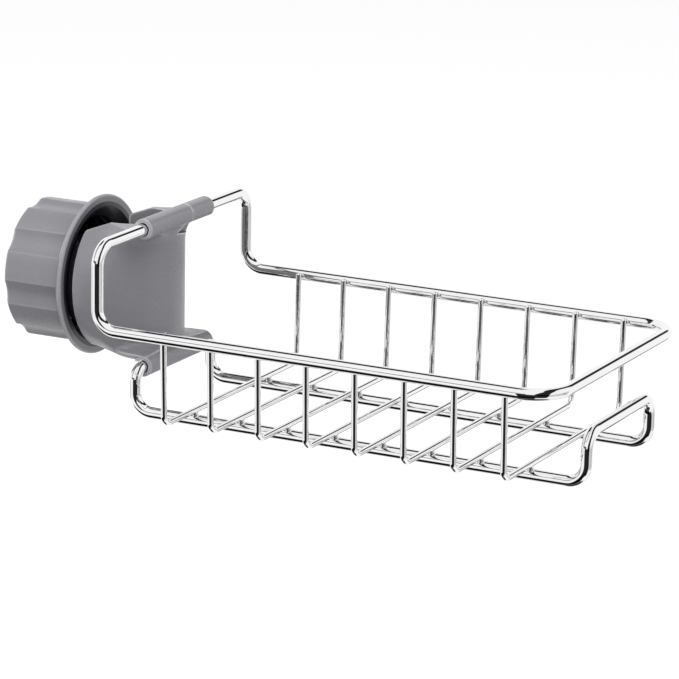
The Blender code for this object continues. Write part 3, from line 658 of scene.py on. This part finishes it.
print("faces within", FLAT_ANGLE, "degrees are joined after a cut")

# %% [markdown]
# ### Clamp moulding
#
# One piece of plastic does four jobs: it is the round seat of the clamp, the disc that covers the
# knob's mouth, the two prongs that the knob screws on, and the two sleeves for the wires. Each
# sleeve is a pair of hooks that face opposite ways, so the mould can open and the wire still
# snaps in for good.

# %% Clamp moulding with its seam and thread
PRONG_RADIUS = 20.2 * MM
SEAM_PLACE = 7 * MM             # from the middle of the upper sleeve to where its two hooks meet
SEAM_WIDTH, SEAM_DEPTH = 0.4 * MM, 0.25 * MM
shape = merged_copy("clamp_body")
moulding = finish_mesh("clamp_moulding", shape, clamp_plastic, "basket",
                       ["clamp_body"])
moulding_low, moulding_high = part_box("clamp_body")
sleeve_radius = moulding_high.z - bar_level
cut(moulding, ring_cutter("seam_cutter", (riser_x, SEAM_PLACE, bar_level), sleeve_radius,
                          SEAM_WIDTH, SEAM_DEPTH))
cut(moulding, thread_cutter("prong_thread_cutter", PRONG_RADIUS, True,
                            moulding_low.x - THREAD_PITCH / 2, DISC_PLACE - THREAD_PITCH / 2))
print("clamp moulding:", len(moulding.data.polygons), "faces")

# %% [markdown]
# ### Knob
#
# A cup with a thin flange round its mouth. Eight broad lobes with a shallow flute between each pair
# give wet fingers a grip, and a hub in the middle holds the stem of the pressure block. Its thread
# is cut into the inner wall, so its cutter leans outwards, where the prongs' cutter leans inwards.

# %% Knob with its thread
CAVITY_RADIUS = 20.5 * MM
KNOB_WALL = 3.5 * MM
shape = merged_copy("knob")
knob = finish_mesh("screw_knob", shape, knob_plastic, "knob", ["knob"])
cut(knob, thread_cutter("knob_thread_cutter", CAVITY_RADIUS, False,
                        knob_low.x + KNOB_WALL + THREAD_PITCH, knob_high.x - THREAD_PITCH))
print("knob:", len(knob.data.polygons), "faces")

# %% [markdown]
# ### Pieces inside the clamp
#
# The rubber saddle strip lines the seat, the nylon block slides between the prongs, and a rubber
# pad on its face does the gripping. Their CAD forms are right, so smooth copies take their finish.

# %% Inner pieces
for node, name, material, body, slot in (
    ("saddle_pad", "rubber_saddle", rubber, "basket", "black_rubber"),
    ("pressure_block", "sliding_block", block_plastic, "pressure", "inner_plastic"),
    ("pressure_pad", "rubber_grip_pad", rubber, "pressure", "black_rubber"),
):
    finish_mesh(name, merged_copy(node), material, body, [node])
    print("dressed", node)

# %% [markdown]
# ## The studio
#
# Polished steel is only as good as what it mirrors: in an all-white room it looks like paper.
# Photographers stand black cards round a white tent, outside the picture, and the cards draw the
# dark lines along the metal. Real card objects would work here too, but the world can hold them
# more simply: to reflections it is a white tent with dark cards painted on it by direction. To the
# camera it stays plain white, and for the light that it sheds it is one plain level.

# %% Kinds of ray
def light_path_mask(tree, *kinds):
    """One for the kinds of ray that are named, such as Is Camera Ray, and zero for the rest."""
    path = add(tree, "LightPath")
    mask = path.outputs[kinds[0]]
    for kind in kinds[1:]:
        mask = add(tree, "Math", {"operation": "MAXIMUM"}, i0=mask, i1=path.outputs[kind]).outputs[0]
    return mask


# %% [markdown]
# ### Cards and strips
#
# A straight wire mirrors one narrow circle of the room, so a card on that circle draws a line all
# along the wire. Each card is given by where it stands: its azimuth, clockwise from +Y as on a
# compass, and its elevation, both in degrees. The card beside the lens draws the dark line on each
# upright wire, the dark floor in front draws the one under the rails, and the narrow gaps between
# the tent's sheets draw the thin grey lines. The dark floor below outlines the undersides.
#
# A bend sweeps its mirrored circle round the room, so its line breaks where a card ends. The two
# arched strips join the cards, which carries the lines round the bends. A strip is a row of round
# patches that stand so close together that they make one smooth band.

# %% Places of the cards and strips
SQUARE_CARDS = (
    ("beside the lens", 157, -20, 43, 28, 0.98),
    ("right side", 95, -14, 45, 16, 0.35),
    ("right gap", 66, -15, 5, 8, 0.50),
    ("left gap", 265, -15, 7, 8, 0.60),
    ("floor in front", 212, -49, 62, 18, 0.99),
    ("ceiling gap", -66, 61, 28, 14, 0.97),
    ("gap in front", 206, 12, 30, 4.5, 0.92),
    ("low back", 3, -30, 12, 5, 0.80),
    ("floor below", 0, -82, 181, 14, 0.97),
)   # name, azimuth, elevation, half width, half height, darkness
STRIPS = (
    ("arch", 0.98, (132, 12, 20), (120, 35, 15), (102, 48, 12.5), (78, 61, 12), (38, 59, 11),
     (18, 43, 10), (12, 28, 10.5)),
    ("left arch", 0.95, (-84, 56, 9), (-103, 50, 9), (-117, 36, 8), (-127, 23, 6)),
)   # name, darkness, then azimuth, elevation and half width of each point along the strip
STRIP_STEPS = 3             # round patches from one point of a strip to the next
CARD_SOFTNESS = 4           # degrees over which a card's edge fades
print(len(SQUARE_CARDS), "dark cards and", len(STRIPS), "dark strips")

# %% [markdown]
# ### Directions in the world's shader
#
# In a world's shader the Generated coordinate is the direction looked in. Two angles of it place
# the square cards, and its angle from a centre places the round patches of a strip.

# %% The direction looked in
world = bpy.data.worlds.new("white_tent")
bpy.context.scene.world = world
world.use_nodes = True
sky = world.node_tree
sky.nodes.clear()
direction = add(sky, "TexCoord").outputs["Generated"]
parts = add(sky, "SeparateXYZ", Vector=direction)
azimuth = add(sky, "Math", {"operation": "ARCTAN2"}, i0=parts.outputs[0],
              i1=parts.outputs[1]).outputs[0]
elevation = add(sky, "Math", {"operation": "ARCSINE"}, i0=parts.outputs[2]).outputs[0]


def off_centre(angle, centre):
    """How far an angle is from a card's centre, in degrees, the short way round."""
    degrees = add(sky, "Math", {"operation": "DEGREES"}, i0=angle)
    moved = add(sky, "Math", {"operation": "SUBTRACT"}, i0=degrees.outputs[0], i1=centre)
    wrapped = add(sky, "Math", {"operation": "WRAP"}, i0=moved.outputs[0], i1=180, i2=-180)
    return add(sky, "Math", {"operation": "ABSOLUTE"}, i0=wrapped.outputs[0]).outputs[0]


def towards(card_azimuth, card_elevation):
    """A compass direction as a vector."""
    turn, rise = math.radians(card_azimuth), math.radians(card_elevation)
    return Vector((math.sin(turn) * math.cos(rise), math.cos(turn) * math.cos(rise), math.sin(rise)))


def from_point(centre):
    """The angle between the direction looked in and a centre, in degrees."""
    along = add(sky, "VectorMath", {"operation": "DOT_PRODUCT"}, i0=direction, i1=centre)
    angle = add(sky, "Math", {"operation": "ARCCOSINE"}, i0=along.outputs["Value"])
    return add(sky, "Math", {"operation": "DEGREES"}, i0=angle.outputs[0]).outputs[0]


print("straight up is", tuple(round(value) for value in towards(0, 90)))

# %% Hanging the cards in the tent
def outside(distance, size):
    """Zero on a card and one beside it, with a soft edge between."""
    return add(sky, "MapRange", {"interpolation_type": "SMOOTHSTEP"}, Value=distance,
               From_Min=size - CARD_SOFTNESS / 2, From_Max=size + CARD_SOFTNESS / 2).outputs[0]


def hang(tent, name, beside, dark):
    """Darkens the tent where a card hangs in front of it."""
    card = add(sky, "MapRange", Value=beside, To_Min=1 - dark, To_Max=1)
    card.label = name
    return add(sky, "Math", {"operation": "MULTIPLY"}, i0=tent, i1=card.outputs[0]).outputs[0]


FAR_OFF = 1000              # degrees, more than any patch can be away
tent = 1
for name, card_azimuth, card_elevation, half_width, half_height, dark in SQUARE_CARDS:
    across = outside(off_centre(azimuth, card_azimuth), half_width)
    above = outside(off_centre(elevation, card_elevation), half_height)
    beside = add(sky, "Math", {"operation": "MAXIMUM"}, i0=across, i1=above).outputs[0]
    tent = hang(tent, name, beside, dark)
for name, dark, *points in STRIPS:
    stations = [(towards(*place), half_width) for *place, half_width in points]
    nearest = FAR_OFF
    for (here, width), (there, next_width) in zip(stations, stations[1:]):
        for step in range(STRIP_STEPS + 1):
            share = step / STRIP_STEPS
            centre = here.lerp(there, share).normalized()
            past = add(sky, "Math", {"operation": "SUBTRACT"}, i0=from_point(centre),
                       i1=width + (next_width - width) * share)
            nearest = add(sky, "Math", {"operation": "MINIMUM"}, i0=nearest,
                          i1=past.outputs[0]).outputs[0]
    tent = hang(tent, name, outside(nearest, 0), dark)
print("the tent takes", len(sky.nodes), "nodes")

# %% What each kind of ray sees
WORLD_LIGHT = 0.30          # the plain level that lights the caddy
seen = light_path_mask(sky, "Is Glossy Ray", "Is Transmission Ray")
level = add(sky, "Mix", i0=light_path_mask(sky, "Is Camera Ray"), i2=WORLD_LIGHT, i3=1)
level = add(sky, "Mix", i0=seen, i2=level.outputs[0], i3=tent)
light = add(sky, "Background", Color=linear("#FFFFFF"), Strength=level.outputs[0])
add(sky, "OutputWorld", Surface=light.outputs[0])
print("plain light of the tent:", WORLD_LIGHT)

# %% [markdown]
# ### Floor
#
# A plain pale floor lies well below the caddy, which hangs by its clamp, so its shadow falls soft
# and faint. A backdrop that curves up would hide the horizon, but it would also stand in the way of
# other views. So the floor is flat, and it glows to the camera alone, which makes it meet the white
# background without an edge and adds no light to the caddy.

# %% Floor
FLOOR_LEVEL = -0.30
FLOOR_SIZE = 12
FLOOR_GLOW = 0.69

floor_material, tree, output = new_material("pale_floor")
lift = add(tree, "Math", {"operation": "MULTIPLY"}, i0=light_path_mask(tree, "Is Camera Ray"),
           i1=FLOOR_GLOW)
paint = add(tree, "BsdfDiffuse", Color=linear("#F0F0F0"))
glow = add(tree, "Emission", Color=linear("#FFFFFF"), Strength=lift.outputs[0])
both = add(tree, "AddShader", i0=paint.outputs[0], i1=glow.outputs[0])
tree.links.new(both.outputs[0], output.inputs[0])

shape = bmesh.new()
bmesh.ops.create_grid(shape, x_segments=1, y_segments=1, size=FLOOR_SIZE / 2)
bmesh.ops.translate(shape, verts=shape.verts, vec=(0, 0, FLOOR_LEVEL))
mesh = bpy.data.meshes.new("floor")
shape.to_mesh(mesh)
shape.free()
mesh.materials.append(floor_material)
floor = bpy.data.objects.new("floor", mesh)
bpy.context.scene.collection.objects.link(floor)
floor.visible_glossy = False
print("floor", round(-FLOOR_LEVEL * 1000), "mm below the clamp")

# %% [markdown]
# ### Lamps
#
# A wide softbox overhead lights the tops, and a weaker one in front, at the left of the camera and
# a little higher, fills the faces that the camera sees. Both are large and near, so the plastic
# shows soft gradients and no hard shadows. A third stands low at the right, beyond the end of the
# basket, and lightens the clamp's front and far side. None of them shows in the wires, which mirror
# the tent instead.

# %% Softboxes
SOFTBOXES = (
    ("overhead_softbox", (-0.10, -0.25, 0.85), (0.05, 0, 0), (0.5, 0.5), 7),
    ("front_softbox", (0.25, -1.0, 0.42), (0, 0, 0), (0.5, 0.5), 5.2),
    ("rim_softbox", (0.85, 0.25, 0.25), (0, 0, 0), (0.4, 0.5), 3),
)   # name, place, the point it looks at, width and height, watts


def softbox(name, place, aim, size, power):
    """A rectangular lamp that looks at a point and shows in no reflection."""
    lamp = bpy.data.lights.new(name, "AREA")
    lamp.shape, lamp.size, lamp.size_y, lamp.energy = "RECTANGLE", size[0], size[1], power
    made = bpy.data.objects.new(name, lamp)
    made.location = place
    made.rotation_euler = (Vector(place) - Vector(aim)).to_track_quat("Z", "Y").to_euler()
    made.visible_glossy = False
    bpy.context.scene.collection.objects.link(made)
    print(f"{name}: {power} W")


for lamp_row in SOFTBOXES:
    softbox(*lamp_row)

# %% [markdown]
# ## Finish
#
# The Standard view shows each colour as it was worked out, with no filmic tone curve over it.

# %% View
bpy.context.scene.view_settings.view_transform = "Standard"
